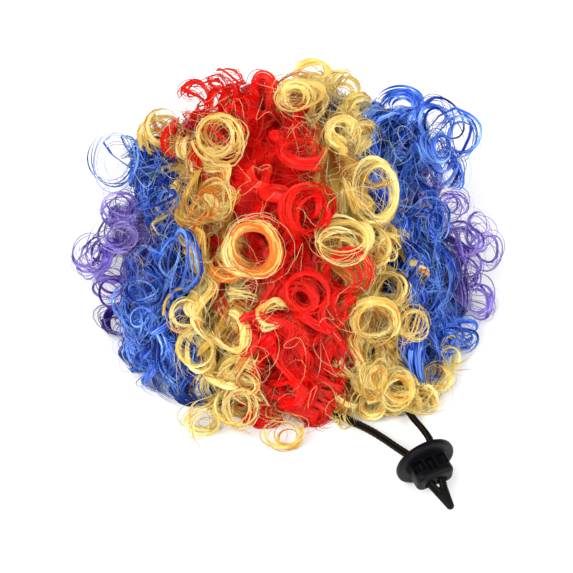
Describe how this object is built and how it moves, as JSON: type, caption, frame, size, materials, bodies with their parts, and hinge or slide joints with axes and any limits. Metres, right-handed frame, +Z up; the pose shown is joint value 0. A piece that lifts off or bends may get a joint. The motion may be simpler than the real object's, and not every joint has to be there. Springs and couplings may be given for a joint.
{
  "type": "pet clown wig",
  "caption": "Curly dome-shaped clown wig for a pet, in parallel colour stripes on a soft open cap, with an elastic chin cord and a moulded cord stopper.",
  "frame": {"origin": "on the surface that the wig stands on, under the middle of the hair", "axes": "+Z up through the crown, -Y towards the front edge where the chin cord comes out, +X to the right seen from the front"},
  "size_m": [0.1584, 0.2054, 0.0884],
  "materials": {
    "cap_fabric": "matt knitted net",
    "hair_red": "glossy curled synthetic fibre",
    "hair_yellow": "glossy curled synthetic fibre",
    "hair_blue": "glossy curled synthetic fibre",
    "hair_purple": "glossy curled synthetic fibre",
    "cord": "braided elastic cord",
    "stopper": "satin moulded plastic"
  },
  "bodies": {
    "root": {"cap": "cap_fabric", "hair_red": "hair_red", "hair_yellow_left": "hair_yellow", "hair_yellow_right": "hair_yellow", "hair_blue_left": "hair_blue", "hair_blue_right": "hair_blue", "hair_purple_left": "hair_purple", "hair_purple_right": "hair_purple", "strap_cord_left": "cord", "strap_cord_right": "cord", "cord_tip": "cord", "cord_stopper": "stopper"}
  },
  "joints": []
}
